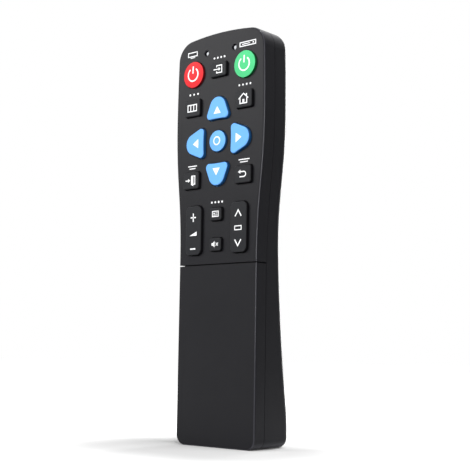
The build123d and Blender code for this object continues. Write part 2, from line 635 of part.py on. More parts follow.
def rear_shell():
    """Back of the remote: battery tray, door opening, posts, ribs and a nest for the front."""
    back = block(-HEAD_WIDTH, HEAD_WIDTH, FRONT_DEPTH, DEEP, -OVERRUN, LENGTH + OVERRUN)
    shell = (OUTER & back) - CAVITY
    inside = housing(WALL - FLOAT)
    groove = slab(OUTLINE - inset(PARTING_GROOVE), FRONT_DEPTH, FRONT_DEPTH + PARTING_GROOVE)
    shell -= groove & above(SEAM_Z)
    nest_inset = WALL + FLOAT + NEST_WALL
    nest = slab(ring(WALL + FLOAT, nest_inset), FRONT_DEPTH - NEST_HEIGHT, FRONT_DEPTH)
    nest += slab(ring(WALL - FLOAT, nest_inset), FRONT_DEPTH, FRONT_DEPTH + SHELF_WALL)
    brim_low = BRIM_TOP - WINDOW_BRIM_WALL - SLIDE_GAP
    nest -= block(-BRIM_CUT, BRIM_CUT, 0, DEEP, brim_low, LENGTH)
    shell += nest & above(HEAD_LOW)
    shelf = slab(ring(WALL - FLOAT, WELL_INSET), FRONT_DEPTH, FRONT_DEPTH + SHELF_WALL)
    shell += shelf & between(0, HEAD_LOW)
    tray_half = BAY_HALF + BAY_WALL
    tray = block(-tray_half, tray_half, TRAY_DEPTH, DEEP, 0, POCKET_TOP + BAY_WALL)
    margin = DOOR_HALF + SLIDE_GAP + CHEEK
    ledge = block(-margin, margin, FRONT_DEPTH, DEEP, HINGE_Z, DOOR_TOP + CHEEK)
    ledge &= rear_wall(LEDGE_INSET, LEDGE_INSET + LEDGE_WALL)
    cheeks = block(-margin, margin, HINGE_DEPTH - CHEEK, DEEP, HINGE_Z - CHEEK, HINGE_Z + CHEEK)
    shell += (tray + ledge + cheeks) & inside
    for x, z in case_bosses:
        shell += slab(disc(x, z, POST_R), BOARD_BACK, DEEP) & inside
    for x, z in rests + foot_rests:
        shell += slab(disc(x, z, REST_R), BOARD_BACK, DEEP) & inside
    for x, z in bay_bosses:
        shell += slab(disc(x, z, BOSS_R), BOARD_BACK, BAY_SEAT)
    shell += back_ribs() & inside
    floor = TRAY_DEPTH + TRAY_WALL
    shell -= block(-BAY_HALF, BAY_HALF, floor, DEEP, BAY_LOW, HINGE_Z) & CAVITY
    shell -= block(-BAY_HALF, BAY_HALF, floor, DEEP, HINGE_Z, BAY_TOP)
    shell -= block(-BAY_HALF, BAY_HALF, BAY_SEAT, DEEP, BAY_TOP + BAY_WALL, POCKET_TOP)
    hook = back_depth(POCKET_TOP) - DOOR_WALL
    hook_near, hook_far = hook - LATCH_DROP - SLIDE_GAP, hook - SEAT_GAP - LEDGE_WALL
    hook_half = LATCH_HALF + SLIDE_GAP
    shell -= block(-hook_half, hook_half, hook_near, hook_far, POCKET_TOP, POCKET_TOP + LATCH_NIB)
    half = DOOR_HALF + SLIDE_GAP
    opening = block(-half, half, FRONT_DEPTH, DEEP, HINGE_Z, DOOR_TOP + SLIDE_GAP)
    shell -= opening - back_block(LEDGE_INSET)
    swing_low = HINGE_Z - HINGE_R - SLIDE_GAP
    shell -= block(-half, half, HINGE_DEPTH, DEEP, swing_low, HINGE_Z)
    shell -= hinge_bar(HINGE_R + SLIDE_GAP, half)
    shell -= hinge_bar(HINGE_PIN_R + PIN_GAP, half + HINGE_PIN)
    for x, z in case_bosses:
        shell -= slab(disc(x, z, SCREW_R + HOLE_GAP), 0, DEEP)
        shell -= slab(disc(x, z, SCREW_HEAD_R + HOLE_GAP), CASE_SEAT, DEEP)
    for x, z in bay_bosses:
        shell -= slab(disc(x, z, SCREW_R + HOLE_GAP), 0, BAY_SEAT)
    for side in (-1, 1):
        x = side * CELL_PITCH / 2
        tail = TAIL_HALF + SEAT_GAP
        shell -= block(x - tail, x + tail, 0, floor, BAY_TOP - STRIP_WALL - SEAT_GAP, BAY_TOP)
    scoop_depth = back_depth(DOOR_TOP) + SCOOP_R - SCOOP_DEPTH
    scoop = Pos(0, FACE_Y + scoop_depth, DOOR_TOP + SLIDE_GAP) * Sphere(SCOOP_R)
    shell -= scoop & above(DOOR_TOP + SLIDE_GAP)
    return shell - window_hole(FLOAT)


def back_ribs():
    """A spine and cross ribs that stiffen the back above the battery door."""
    layer = rear_wall(WALL - FLOAT, WALL + RIB_HEIGHT)
    low, high = DOOR_TOP + CHEEK, LENGTH - CROWN_CORNER
    ribs = block(-RIB_WALL / 2, RIB_WALL / 2, FRONT_DEPTH, DEEP, low, high)
    for step in range(RIB_COUNT):
        z = low + (high - low) * (2 * step + 1) / (2 * RIB_COUNT)
        start, end = z - RIB_WALL / 2, z + RIB_WALL / 2
        ribs += block(-HEAD_WIDTH, HEAD_WIDTH, FRONT_DEPTH, DEEP, start, end)
    return ribs & layer


def battery_door():
    """Lid over the cells: it turns on two pins at its foot and latches at its top."""
    zone = block(-DOOR_HALF, DOOR_HALF, FRONT_DEPTH, DEEP, HINGE_Z, DOOR_TOP)
    door = (OUTER & zone) - back_block(DOOR_WALL)
    door += hinge_bar(HINGE_R, DOOR_HALF) & OUTER
    door += hinge_bar(HINGE_PIN_R, DOOR_HALF + HINGE_PIN)
    low, high = HINGE_Z + HINGE_R, BAY_TOP - HINGE_R
    rib = block(-DOOR_RIB / 2, DOOR_RIB / 2, FRONT_DEPTH, DEEP, low, high)
    door += rib & rear_wall(DOOR_WALL - FLOAT, DOOR_WALL + DOOR_RIB_HEIGHT)
    tab_top = POCKET_TOP - SLIDE_GAP
    inner = back_depth(tab_top) - DOOR_WALL
    for step in range(GRIP_LINES):
        z = DOOR_TOP - GRIP_START - step * GRIP_PITCH
        line = block(-GRIP_HALF, GRIP_HALF, FRONT_DEPTH, DEEP, z - GRIP_LINE, z)
        door -= line - back_block(GRIP_CUT)
    near, low = inner - LATCH_DROP, tab_top - LATCH_WALL
    tab = block(-LATCH_HALF, LATCH_HALF, near, inner + 2 * FLOAT, low, tab_top)
    nib_far = inner - SEAT_GAP - LEDGE_WALL - SLIDE_GAP
    tab += block(-LATCH_HALF, LATCH_HALF, near, nib_far, tab_top, tab_top + LATCH_NIB)
    return door + tab


def cell(side):
    """A cell with its nub up on the left and down on the right."""
    low = BAY_LOW + STRIP_WALL + (SPRING_LENGTH if side < 0 else DIMPLE)
    centre = Pos(side * CELL_PITCH / 2, FACE_Y + CELL_DEPTH, low + CELL_LENGTH / 2)
    can = fillet(Cylinder(CELL_R, CELL_BODY).edges(), CELL_EDGE)
    can += Pos(0, 0, CELL_BODY / 2) * Cylinder(CELL_NUB_R, 2 * CELL_NUB)
    return centre * Rot(0 if side < 0 else 180, 0, 0) * Pos(0, 0, -CELL_NUB / 2) * can


def coil(side, strip_z, up):
    """A conical spring that stands on its strip and narrows towards the cell."""
    height = SPRING_LENGTH - 2 * WIRE_R
    angle = math.degrees(math.atan2(SPRING_R - SPRING_TIP_R, height))
    path = Helix(SPRING_PITCH, height, SPRING_R, cone_angle=-angle)
    wire = sweep(Plane(origin=path @ 0, z_dir=path % 0) * Circle(WIRE_R), path=path)
    stand = Pos(side * CELL_PITCH / 2, FACE_Y + CELL_DEPTH, strip_z)
    return stand * Rot(0 if up else 180, 0, 0) * Pos(0, 0, WIRE_R) * wire


def strip(left, right, low, tail):
    """A flat contact against one end of the bay, with an optional tail to the circuit board."""
    high = low + STRIP_WALL
    plate = block(left, right, CELL_DEPTH - STRIP_HALF, CELL_DEPTH + STRIP_HALF, low, high)
    if tail:
        x = (left + right) / 2
        plate += block(x - TAIL_HALF, x + TAIL_HALF, BOARD_BACK + FLOAT, CELL_DEPTH, low, high)
    return plate


def dimple(side, low):
    x = side * CELL_PITCH / 2
    return Pos(x, FACE_Y + CELL_DEPTH, low + DIMPLE / 2) * Cylinder(DIMPLE_R, DIMPLE)


def bridge_contact():
    """The strip at the foot that joins both cells: a spring on the left, a dimple on the right."""
    half = CELL_PITCH / 2 + STRIP_HALF
    high = BAY_LOW + STRIP_WALL
    plate = strip(-half, half, BAY_LOW, False) + dimple(1, high)
    return Compound([plate.solid(), coil(-1, high, True).solid()])


def plus_contact():
    x = -CELL_PITCH / 2
    low = BAY_TOP - STRIP_WALL
    return strip(x - STRIP_HALF, x + STRIP_HALF, low, True) + dimple(-1, low - DIMPLE)


def minus_contact():
    x = CELL_PITCH / 2
    low = BAY_TOP - STRIP_WALL
    plate = strip(x - STRIP_HALF, x + STRIP_HALF, low, True)
    return Compound([plate.solid(), coil(1, low, False).solid()])


def board_outline():
    """The circuit board: wide in the head, narrow between the rails of the deck."""
    step = HEAD_LOW + BOARD_GAP
    strip_low = Pos(0, step / 2) * Rectangle(HEAD_WIDTH, step + FLOAT)
    strip_high = Pos(0, step + LENGTH / 2) * Rectangle(HEAD_WIDTH, LENGTH)
    head = inset(WALL + FLOAT + NEST_WALL + BOARD_GAP) & strip_high
    grip = inset(WELL_INSET + BOARD_GAP) & strip_low
    notch = Pos(0, IR_LOW - IR_RIM + LENGTH / 2) * Rectangle(2 * NOTCH_HALF, LENGTH)
    brim_low = BRIM_TOP - WINDOW_BRIM_WALL - SLIDE_GAP
    brim = Pos(0, brim_low + LENGTH / 2) * Rectangle(2 * BRIM_CUT, LENGTH)
    return head + grip - notch - brim


def circuit_board():
    board = slab(board_outline(), BOARD_DEPTH, BOARD_BACK)
    for x, z in case_bosses + bay_bosses:
        board -= slab(disc(x, z, SCREW_R + HOLE_GAP), BOARD_DEPTH, BOARD_BACK)
    for z in pin_heights:
        board -= slab(disc(0, z, PIN_R + FLOAT), BOARD_DEPTH, BOARD_BACK)
    return board


def keypad_sheet():
    """Silicone sheet on the circuit board, with a raised collar round each front plunger."""
    sheet = slab(board_outline(), SHEET_DEPTH, BOARD_DEPTH)
    for plunger in square_plungers + round_plungers:
        collar = offset(plunger, KEY_GAP + COLLAR_WALL)
        sheet += slab(collar, COLLAR_DEPTH, SHEET_DEPTH)
    for plunger in square_plungers + round_plungers + rocker_plungers + deck_plungers:
        sheet -= slab(offset(plunger, KEY_GAP, kind=Kind.INTERSECTION), 0, BOARD_DEPTH)
    for x, z in case_bosses + bay_bosses:
        sheet -= slab(disc(x, z, BOSS_R + HOLE_GAP), 0, BOARD_DEPTH)
    for x, z in rests + foot_rests:
        sheet -= slab(disc(x, z, REST_R + HOLE_GAP), 0, BOARD_DEPTH)
    for x, z in led_places:
        sheet -= slab(disc(x, z, LED_RIM_R + HOLE_GAP), 0, BOARD_DEPTH)
    for z in pin_heights:
        sheet -= slab(disc(0, z, PIN_R + FLOAT), 0, BOARD_DEPTH)
    return sheet


def indicator_led(x, z):
    """A small light that stands on the board, with its round top just behind the face."""
    body = slab(disc(x, z, LED_R), LED_RECESS + LED_R, BOARD_DEPTH)
    body += Pos(x, FACE_Y + LED_RECESS + LED_R, z) * Sphere(LED_R)
    return body + slab(disc(x, z, LED_RIM_R), BOARD_DEPTH - LED_RIM, BOARD_DEPTH)


def upright(x, depth, z, radius, height):
    """A rod along the length of the remote, from a height up."""
    return Pos(x, FACE_Y + depth, z + height / 2) * Cylinder(radius, height)


def infrared_led():
    """The sender at the top end, on two leads that meet the board's notch."""
    led = upright(0, window_mid, IR_LOW, IR_R, IR_BODY)
    led += Pos(0, FACE_Y + window_mid, IR_LOW + IR_BODY) * Sphere(IR_R)
    led += upright(0, window_mid, IR_LOW, IR_RIM_R, IR_RIM)
    for side in (-1, 1):
        led += upright(side * LEAD_X, window_mid, IR_LOW - IR_RIM, LEAD_R, IR_RIM + LEAD_R)
    return led


def infrared_window():
    """A smoked window through the top end, with a brim behind the wall."""
    half, height = WINDOW_HALF + WINDOW_BRIM, WINDOW_HEIGHT + 2 * WINDOW_BRIM
    near, far = window_mid - height / 2, window_mid + height / 2
    brim = block(-half, half, near, far, BRIM_TOP - WINDOW_BRIM_WALL, BRIM_TOP)
    return (OUTER & window_hole(0) & above(BRIM_TOP - FLOAT)) + brim


def screw(x, z, seat, length):
    """A pan-head screw driven in from the back."""
    body = slab(disc(x, z, SCREW_R), seat - length, seat)
    body += slab(disc(x, z, SCREW_HEAD_R), seat, seat + SCREW_HEAD)
    top, reach = seat + SCREW_HEAD, SCREW_HEAD_R - CROSS_WIDTH
    half = CROSS_WIDTH / 2
    body -= block(x - reach, x + reach, top - CROSS_DEPTH, top, z - half, z + half)
    return body - block(x - half, x + half, top - CROSS_DEPTH, top, z - reach, z + reach)


def main_chip():
    """The controller on the back of the board, with a row of legs down each side."""
    low = CHIP_Z - CHIP_LENGTH / 2
    half = CHIP_WIDTH / 2
    near, far = BOARD_BACK + LEG_WALL, BOARD_BACK + CHIP_HEIGHT
    chip = block(-half, half, near, far, low, low + CHIP_LENGTH)
    reach = half + LEG_REACH
    for step in range(CHIP_LEGS):
        z = low + CHIP_LENGTH * (2 * step + 1) / (2 * CHIP_LEGS)
        low_z, high_z = z - LEG_WIDTH / 2, z + LEG_WIDTH / 2
        chip += block(-reach, reach, BOARD_BACK, BOARD_BACK + 2 * LEG_WALL, low_z, high_z)
    return chip


def crystal():
    can = RectangleRounded(CRYSTAL_WIDTH, CRYSTAL_LENGTH, CRYSTAL_WIDTH / 2 - FLOAT)
    return slab(Pos(CRYSTAL_X, CHIP_Z) * can, BOARD_BACK, BOARD_BACK + CRYSTAL_HEIGHT)


def capacitor():
    return upright(CAP_X, BOARD_BACK + CAP_R, CAP_Z, CAP_R, CAP_LENGTH)


def save(name, shape):
    export_step(shape, f"parts/{name}.step")


save("front_shell", front_shell())
save("rear_shell", rear_shell())
save("slide_cover", slide_cover())
save("battery_door", battery_door())
save("battery_left", cell(-1))
save("battery_right", cell(1))
save("bridge_contact", bridge_contact())
save("plus_contact", plus_contact())
save("minus_contact", minus_contact())
save("circuit_board", circuit_board())
save("keypad_sheet", keypad_sheet())
save("infrared_led", infrared_led())
save("infrared_window", infrared_window())
save("main_chip", main_chip())
save("crystal", crystal())
save("capacitor", capacitor())
for label, place in zip(("left", "right"), led_places):
    save("indicator_" + label, indicator_led(*place))
save("case_screws", Compound([screw(x, z, CASE_SEAT, CASE_SCREW).solid() for x, z in case_bosses]))
save("bay_screws", Compound([screw(x, z, BAY_SEAT, BAY_SCREW).solid() for x, z in bay_bosses]))
for name, cap in square_keys.items():
    plunger = square_plunger(*tuple(cap.center())[:2])
    save(name, pressed_in(cap, 0, FACE_WALL, KEY_PROUD, KEY_TRAVEL, plunger, KEY_EDGE))
for name, (cap, x, z) in pad_keys.items():
    plunger = square_plunger(x, z)
    save(name, pressed_in(cap, 0, FACE_WALL, KEY_PROUD, KEY_TRAVEL, plunger, SOFT_EDGE))
for name, (x, z, radius) in round_keys.items():
    save(name, domed_key(x, z, radius))
for name, x in rockers.items():
    save(name, rocker(x))
for name, (x, z) in number_keys.items():
    cap, plunger = plain_key(x, z, PAD_WIDTH, PAD_HEIGHT), square_plunger(x, z)
    save(name, pressed_in(cap, DECK_DEPTH, DECK_WALL, PAD_PROUD, PAD_TRAVEL, plunger, KEY_EDGE))
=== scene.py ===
# %% [markdown]
# # A universal remote control in a white studio
#
# The remote comes from CAD as solids that already have the right shape and size. Blender adds
# what CAD leaves out: the grain of the plastic, the rubber of the keys, the white print on
# them, and the light. The solids are loaded first and are never moved or changed.

# %% Load the solids
import json
import math

import bpy
import numpy as np
from mathutils import Matrix


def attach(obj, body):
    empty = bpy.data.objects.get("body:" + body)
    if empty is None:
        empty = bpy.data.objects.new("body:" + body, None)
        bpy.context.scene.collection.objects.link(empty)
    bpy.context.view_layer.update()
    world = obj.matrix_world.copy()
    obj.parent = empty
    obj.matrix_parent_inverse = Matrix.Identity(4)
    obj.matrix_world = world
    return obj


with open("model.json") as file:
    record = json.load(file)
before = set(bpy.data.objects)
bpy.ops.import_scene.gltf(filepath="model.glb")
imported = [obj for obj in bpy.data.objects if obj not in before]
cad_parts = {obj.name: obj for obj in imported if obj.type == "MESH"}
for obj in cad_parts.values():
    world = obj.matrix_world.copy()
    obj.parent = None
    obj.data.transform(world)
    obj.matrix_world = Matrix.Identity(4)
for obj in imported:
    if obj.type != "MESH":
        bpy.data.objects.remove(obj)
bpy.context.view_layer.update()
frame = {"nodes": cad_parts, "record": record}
nodes = frame["nodes"]
MM = 0.001
print("solids from CAD:", len(nodes))

# %% [markdown]
# ## The camera
#
# The remote is seen from its right and from low down, so the camera stands below the middle of
# the remote and looks slightly up. A long lens at half a metre keeps the sides nearly parallel.
# The place and the three turns were found by matching corners of the remote to the picture.

# %% Place the camera
CAMERA_PLACE = (334.89 * MM, -384.63 * MM, 43.89 * MM)
CAMERA_YAW, CAMERA_PITCH, CAMERA_ROLL = 41.0, 6.42, 0.887
LENS_MM, SENSOR_MM = 80.7, 36.0


def turn(axis, degrees):
    """A turn about one axis, as a 4 by 4 matrix."""
    return Matrix.Rotation(math.radians(degrees), 4, axis)


lens = bpy.data.cameras.new("camera")
lens.lens, lens.sensor_width = LENS_MM, SENSOR_MM
lens.clip_start, lens.clip_end = 10 * MM, 20.0
camera = bpy.data.objects.new("camera", lens)
aim = turn("Z", CAMERA_YAW) @ turn("X", 90 + CAMERA_PITCH) @ turn("Z", CAMERA_ROLL)
camera.matrix_world = Matrix.Translation(CAMERA_PLACE) @ aim
bpy.context.scene.collection.objects.link(camera)
bpy.context.scene.camera = camera
bpy.context.scene.view_settings.view_transform = "Standard"
print("camera at", [round(v, 3) for v in camera.location])

# %% [markdown]
# ## How a finish is written
#
# Colours are picked as sRGB hex codes, as on any colour chart, but Cycles adds light in linear
# values, so one function turns one into the other. One more function adds a node, sets its
# values and links its inputs, so that each finish below reads like a short recipe.


# %% Two helpers for finishes
def linear(code, strength=1.0):
    """sRGB to linear: c/12.92 under 0.04045, and ((c + 0.055)/1.055)^2.4 over it."""
    c = np.array([int(code[i : i + 2], 16) for i in (1, 3, 5)]) / 255
    low, high = c / 12.92, ((c + 0.055) / 1.055) ** 2.4
    return (*(np.where(c < 0.04045, low, high) * strength).tolist(), 1.0)


def add(tree, kind, inputs=None, **settings):
    """Adds a node. An input is given a value, or another node's socket to link."""
    made = tree.nodes.new(kind)
    for key, value in settings.items():
        setattr(made, key, value)
    for key, value in (inputs or {}).items():
        if isinstance(value, bpy.types.NodeSocket):
            tree.links.new(value, made.inputs[key])
        else:
            made.inputs[key].default_value = value
    return made


def blank(name):
    """A material with an empty node tree."""
    material = bpy.data.materials.new(name)
    material.use_nodes = True
    material.node_tree.nodes.clear()
    return material, material.node_tree


def per_mm(size):
    """The scale that gives a pattern this size in millimetres on Object coordinates."""
    return 1 / (size * MM)


# %% [markdown]
# ## ABS with a spark-eroded grain
#
# The case is moulded in black ABS. Its mould is etched by sparks, which leaves a fine, even
# grain that turns gloss into a soft sheen. The real grain is about 0.1 mm, which is finer than
# a pixel here, so it is drawn at 0.45 mm. A wide, faint noise stands for the slight unevenness
# of a large moulded face.
#
# The mould is smoother on its rounded edges, and hands polish them too, so their roughness is
# lower there and they catch a thin bright line. Their colour is also painted paler there, as a
# painted highlight along that line. The normal finds them: on a flat side one of its three parts
# is close to 1, and on a round none is.

# %% Case plastic
CASE_BLACK, CASE_BLACK_LIGHT = "#17171a", "#1c1c1f"
CASE_SHEEN = 0.11
# ROUND_PAINTED_HIGHLIGHT is a painted highlight: a paler colour on the rounds, where a bright line
# shines.
ROUND_PAINTED_HIGHLIGHT, ROUND_ROUGHNESS = "#3a3a3f", 0.2
FLAT_PART, ROUND_PART = 0.98, 0.72
CASE_GRAIN_MM, CASE_CLOUD_MM, CASE_RELIEF_MM = 0.45, 22.0, 0.012


def on_rounds(tree, flat, rounded):
    """Goes from one value to the other as max(|X|, |Y|, |Z|) of the piece's normal falls off."""
    normal = add(tree, "ShaderNodeTexCoord").outputs["Normal"]
    sides = add(tree, "ShaderNodeVectorMath", {0: normal}, operation="ABSOLUTE").outputs[0]
    part = add(tree, "ShaderNodeSeparateXYZ", {"Vector": sides}).outputs
    wide = {0: part["X"], 1: part["Y"]}
    most = {0: add(tree, "ShaderNodeMath", wide, operation="MAXIMUM").outputs[0], 1: part["Z"]}
    most = add(tree, "ShaderNodeMath", most, operation="MAXIMUM").outputs[0]
    limits = {"From Min": FLAT_PART, "From Max": ROUND_PART, "To Min": flat, "To Max": rounded}
    return add(tree, "ShaderNodeMapRange", {"Value": most, **limits}).outputs["Result"]


def moulded_abs(name, dark, light, roughness):
    """Two close blacks mixed by a wide noise, a paler one on rounds as painted highlight, and a
    fine noise as relief.
    """
    material, tree = blank(name)
    place = add(tree, "ShaderNodeTexCoord").outputs["Object"]
    cloud = add(
        tree, "ShaderNodeTexNoise", {"Vector": place, "Scale": per_mm(CASE_CLOUD_MM), "Detail": 2.0}
    )
    colour = add(
        tree,
        "ShaderNodeMix",
        {"Factor": cloud.outputs["Fac"], "A": linear(dark), "B": linear(light)},
        data_type="RGBA",
    )
    # Painted highlight: the colour goes paler on the rounds.
    painted_highlight = {"Factor": on_rounds(tree, 0.0, 1.0), "A": colour.outputs["Result"]}
    colour = add(tree, "ShaderNodeMix", {**painted_highlight, "B": linear(ROUND_PAINTED_HIGHLIGHT)}, data_type="RGBA")
    grain = add(
        tree, "ShaderNodeTexNoise", {"Vector": place, "Scale": per_mm(CASE_GRAIN_MM), "Detail": 3.0}
    )
    relief = add(
        tree,
        "ShaderNodeBump",
        {"Height": grain.outputs["Fac"], "Strength": 0.6, "Distance": CASE_RELIEF_MM * MM},
    )
    shader = add(
        tree,
        "ShaderNodeBsdfPrincipled",
        {
            "Base Color": colour.outputs["Result"],
            "Roughness": on_rounds(tree, roughness, ROUND_ROUGHNESS),
            "Specular IOR Level": CASE_SHEEN,
            "Normal": relief.outputs["Normal"],
        },
    )
    add(tree, "ShaderNodeOutputMaterial", {"Surface": shader.outputs["BSDF"]})
    return material


abs_case = moulded_abs("abs_spark_eroded", CASE_BLACK, CASE_BLACK_LIGHT, 0.4)
print("finish:", abs_case.name)

# %% [markdown]
# ## Silicone keys
#
# The keys are moulded in silicone rubber. Their walls are painted darker than their tops, as
# painted shade: a little on the black keys and the grey sheet, much deeper on the coloured ones.
# The surface normal tells top from wall: it points at -Y on a top, whatever the camera sees.

# %% Key rubber
RUBBER_GRAIN_MM, RUBBER_RELIEF_MM = 0.35, 0.008
TOP_START, TOP_END = 0.55, 0.92
RUBBER_SHEEN = 0.19


def silicone(name, top, wall, roughness=0.5):
    """Painted shade: the darker wall colour goes over to the top colour as -Y of the normal goes
    from 0.55 to 0.92.
    """
    material, tree = blank(name)
    normal = add(tree, "ShaderNodeNewGeometry").outputs["True Normal"]
    facing = add(tree, "ShaderNodeSeparateXYZ", {"Vector": normal}).outputs["Y"]
    share = add(
        tree,
        "ShaderNodeMapRange",
        {"Value": facing, "From Min": -TOP_START, "From Max": -TOP_END},
    )
    # Painted shade: the walls get the darker colour and the tops the brighter one.
    colour = add(
        tree,
        "ShaderNodeMix",
        {"Factor": share.outputs["Result"], "A": linear(wall), "B": linear(top)},
        data_type="RGBA",
    )
    place = add(tree, "ShaderNodeTexCoord").outputs["Object"]
    grain = add(
        tree,
        "ShaderNodeTexNoise",
        {"Vector": place, "Scale": per_mm(RUBBER_GRAIN_MM), "Detail": 2.0},
    )
    relief = add(
        tree,
        "ShaderNodeBump",
        {"Height": grain.outputs["Fac"], "Strength": 0.5, "Distance": RUBBER_RELIEF_MM * MM},
    )
    shader = add(
        tree,
        "ShaderNodeBsdfPrincipled",
        {
            "Base Color": colour.outputs["Result"],
            "Roughness": roughness,
            "IOR": 1.42,
            "Specular IOR Level": RUBBER_SHEEN,
            "Normal": relief.outputs["Normal"],
        },
    )
    add(tree, "ShaderNodeOutputMaterial", {"Surface": shader.outputs["BSDF"]})
    return material


# The second colour of each is its walls' colour: painted shade, darker than its top.
rubber_black = silicone("silicone_black", "#191a1d", "#0c0c0e")
rubber_blue = silicone("silicone_blue_painted_shade", "#6aabf2", "#123c66")
rubber_red = silicone("silicone_red_painted_shade", "#d8282e", "#520a0e")
rubber_green = silicone("silicone_green_painted_shade", "#4cc480", "#0c4a27")
rubber_grey = silicone("silicone_sheet_grey", "#6c6d70", "#5a5b5e")
print("finish:", rubber_blue.name, rubber_red.name, rubber_green.name)

# %% [markdown]
# ## Plain finishes for the small and inner parts
#
# Screws, contacts, lights and the parts on the board show through small openings or when a
# lid is open. Each one is a single real material, so one recipe with a fine relief serves them
# all: nickel and zinc plating are metals, epoxy and acrylic are glossy plastics.

# %% Small finishes
PLATING_GRAIN_MM, PLATING_RELIEF_MM = 0.3, 0.004


def plain(name, code, roughness, metallic=0.0, transmission=0.0, grain=PLATING_GRAIN_MM):
    """One colour, and a fine noise as relief."""
    material, tree = blank(name)
    place = add(tree, "ShaderNodeTexCoord").outputs["Object"]
    noise = add(tree, "ShaderNodeTexNoise", {"Vector": place, "Scale": per_mm(grain)})
    relief = add(
        tree,
        "ShaderNodeBump",
        {"Height": noise.outputs["Fac"], "Strength": 0.4, "Distance": PLATING_RELIEF_MM * MM},
    )
    shader = add(
        tree,
        "ShaderNodeBsdfPrincipled",
        {
            "Base Color": linear(code),
            "Roughness": roughness,
            "Metallic": metallic,
            "Transmission Weight": transmission,
            "Normal": relief.outputs["Normal"],
        },
    )
    add(tree, "ShaderNodeOutputMaterial", {"Surface": shader.outputs["BSDF"]})
    return material


nickel = plain("nickel_plated_steel", "#c8c3b8", 0.28, metallic=1.0)
zinc = plain("zinc_plated_steel", "#b9bcc0", 0.35, metallic=1.0)
steel_can = plain("drawn_steel_can", "#bfc1c4", 0.3, metallic=1.0)
chip_epoxy = plain("moulded_chip_epoxy", "#1a1a1b", 0.6)
navy_sleeve = plain("shrunk_sleeve_navy", "#141d3c", 0.3)
clear_epoxy = plain("clear_epoxy", "#e8eef6", 0.08, transmission=0.9)
milky_epoxy = plain("milky_epoxy", "#c9ccd0", 0.35)
smoked_acrylic = plain("smoked_acrylic", "#14060a", 0.08)
ink_white = plain("screen_print_white", "#f0f1f2", 0.55)
print("finishes made:", len(bpy.data.materials))

# %% [markdown]
# ## The circuit board and the cells
#
# A board is glass fibre under a green lacquer, and its copper tracks show as lighter lines. A
# brick pattern draws such straight, stepped lines from one texture. A cell has a dark sleeve,
# a copper band at its plus end, and bare steel at both ends, so its colour only depends on the
# height along the cell.

# %% Board lacquer
TRACK_PITCH_MM, TRACK_MM = 3.2, 0.35


def lacquered_board():
    """Bricks of the lacquer with joints of the lighter track colour, laid over X and Z."""
    material, tree = blank("green_lacquered_board")
    place = add(tree, "ShaderNodeTexCoord").outputs["Object"]
    parts = add(tree, "ShaderNodeSeparateXYZ", {"Vector": place})
    flat = add(
        tree, "ShaderNodeCombineXYZ", {"X": parts.outputs["Z"], "Y": parts.outputs["X"]}
    ).outputs["Vector"]
    tracks = add(
        tree,
        "ShaderNodeTexBrick",
        {
            "Vector": flat,
            "Scale": 1.0,
            "Brick Width": 6 * TRACK_PITCH_MM * MM,
            "Row Height": TRACK_PITCH_MM * MM,
            "Mortar Size": TRACK_MM * MM,
            "Color1": linear("#0d4a25"),
            "Color2": linear("#0f5229"),
            "Mortar": linear("#2e8a4a"),
        },
    )
    shader = add(
        tree,
        "ShaderNodeBsdfPrincipled",
        {"Base Color": tracks.outputs["Color"], "Roughness": 0.3},
    )
    add(tree, "ShaderNodeOutputMaterial", {"Surface": shader.outputs["BSDF"]})
    return material


board_green = lacquered_board()
print("finish:", board_green.name)

# %% Cell sleeves
CELL_LOW_MM = {"battery_left": 7.6, "battery_right": 2.8}
CELL_LENGTH_MM = 44.5
SLEEVE_BANDS = ((0.0, "#b9bcc0"), (0.03, "#1d1f24"), (0.74, "#b4692f"), (0.95, "#b9bcc0"))


def cell_sleeve(name, low, high):
    """The height from the minus end (low) to the plus end (high) picks a band's colour."""
    material, tree = blank(name)
    place = add(tree, "ShaderNodeTexCoord").outputs["Object"]
    height = add(tree, "ShaderNodeSeparateXYZ", {"Vector": place}).outputs["Z"]
    share = add(
        tree,
        "ShaderNodeMapRange",
        {"Value": height, "From Min": low * MM, "From Max": high * MM},
    )
    bands = add(tree, "ShaderNodeValToRGB", {"Fac": share.outputs["Result"]})
    ramp = bands.color_ramp
    ramp.interpolation = "CONSTANT"
    while len(ramp.elements) < len(SLEEVE_BANDS):
        ramp.elements.new(1.0)
    for element, (start, code) in zip(ramp.elements, SLEEVE_BANDS):
        element.position, element.color = start, linear(code)
    shader = add(
        tree, "ShaderNodeBsdfPrincipled", {"Base Color": bands.outputs["Color"], "Roughness": 0.25}
    )
    add(tree, "ShaderNodeOutputMaterial", {"Surface": shader.outputs["BSDF"]})
    return material


sleeves = {}
for node_name, low in CELL_LOW_MM.items():
    ends = (low, low + CELL_LENGTH_MM)
    minus, plus = ends if node_name == "battery_left" else ends[::-1]
    sleeves[node_name] = cell_sleeve("sleeve_" + node_name, minus, plus)
print("cell sleeves:", list(sleeves))

# %% [markdown]
# ## Dress the solids
#
# Each solid is given its finish by name. A name that isn't in the list takes its finish from
# its record's slot, so no solid is left with the plain grey that it came with.

# %% Give each solid its finish
BY_SLOT = {
    "case_black": abs_case,
    "key_black": rubber_black,
    "key_blue": rubber_blue,
    "key_red": rubber_red,
    "key_green": rubber_green,
    "contact_nickel": nickel,
    "board_green": board_green,
    "silicone_grey": rubber_grey,
    "led_clear": clear_epoxy,
    "led_smoke": milky_epoxy,
    "window_smoke": smoked_acrylic,
    "chip_black": chip_epoxy,
    "can_steel": steel_can,
    "sleeve_dark": navy_sleeve,
    "screw_steel": zinc,
}
slot_of = {entry["node"]: entry["material_slot"] for entry in frame["record"]["subparts"]}
for node_name, solid in nodes.items():
    finish = sleeves.get(node_name) or BY_SLOT[slot_of[node_name]]
    for place in solid.material_slots:
        place.material = finish
print("dressed:", len(nodes))

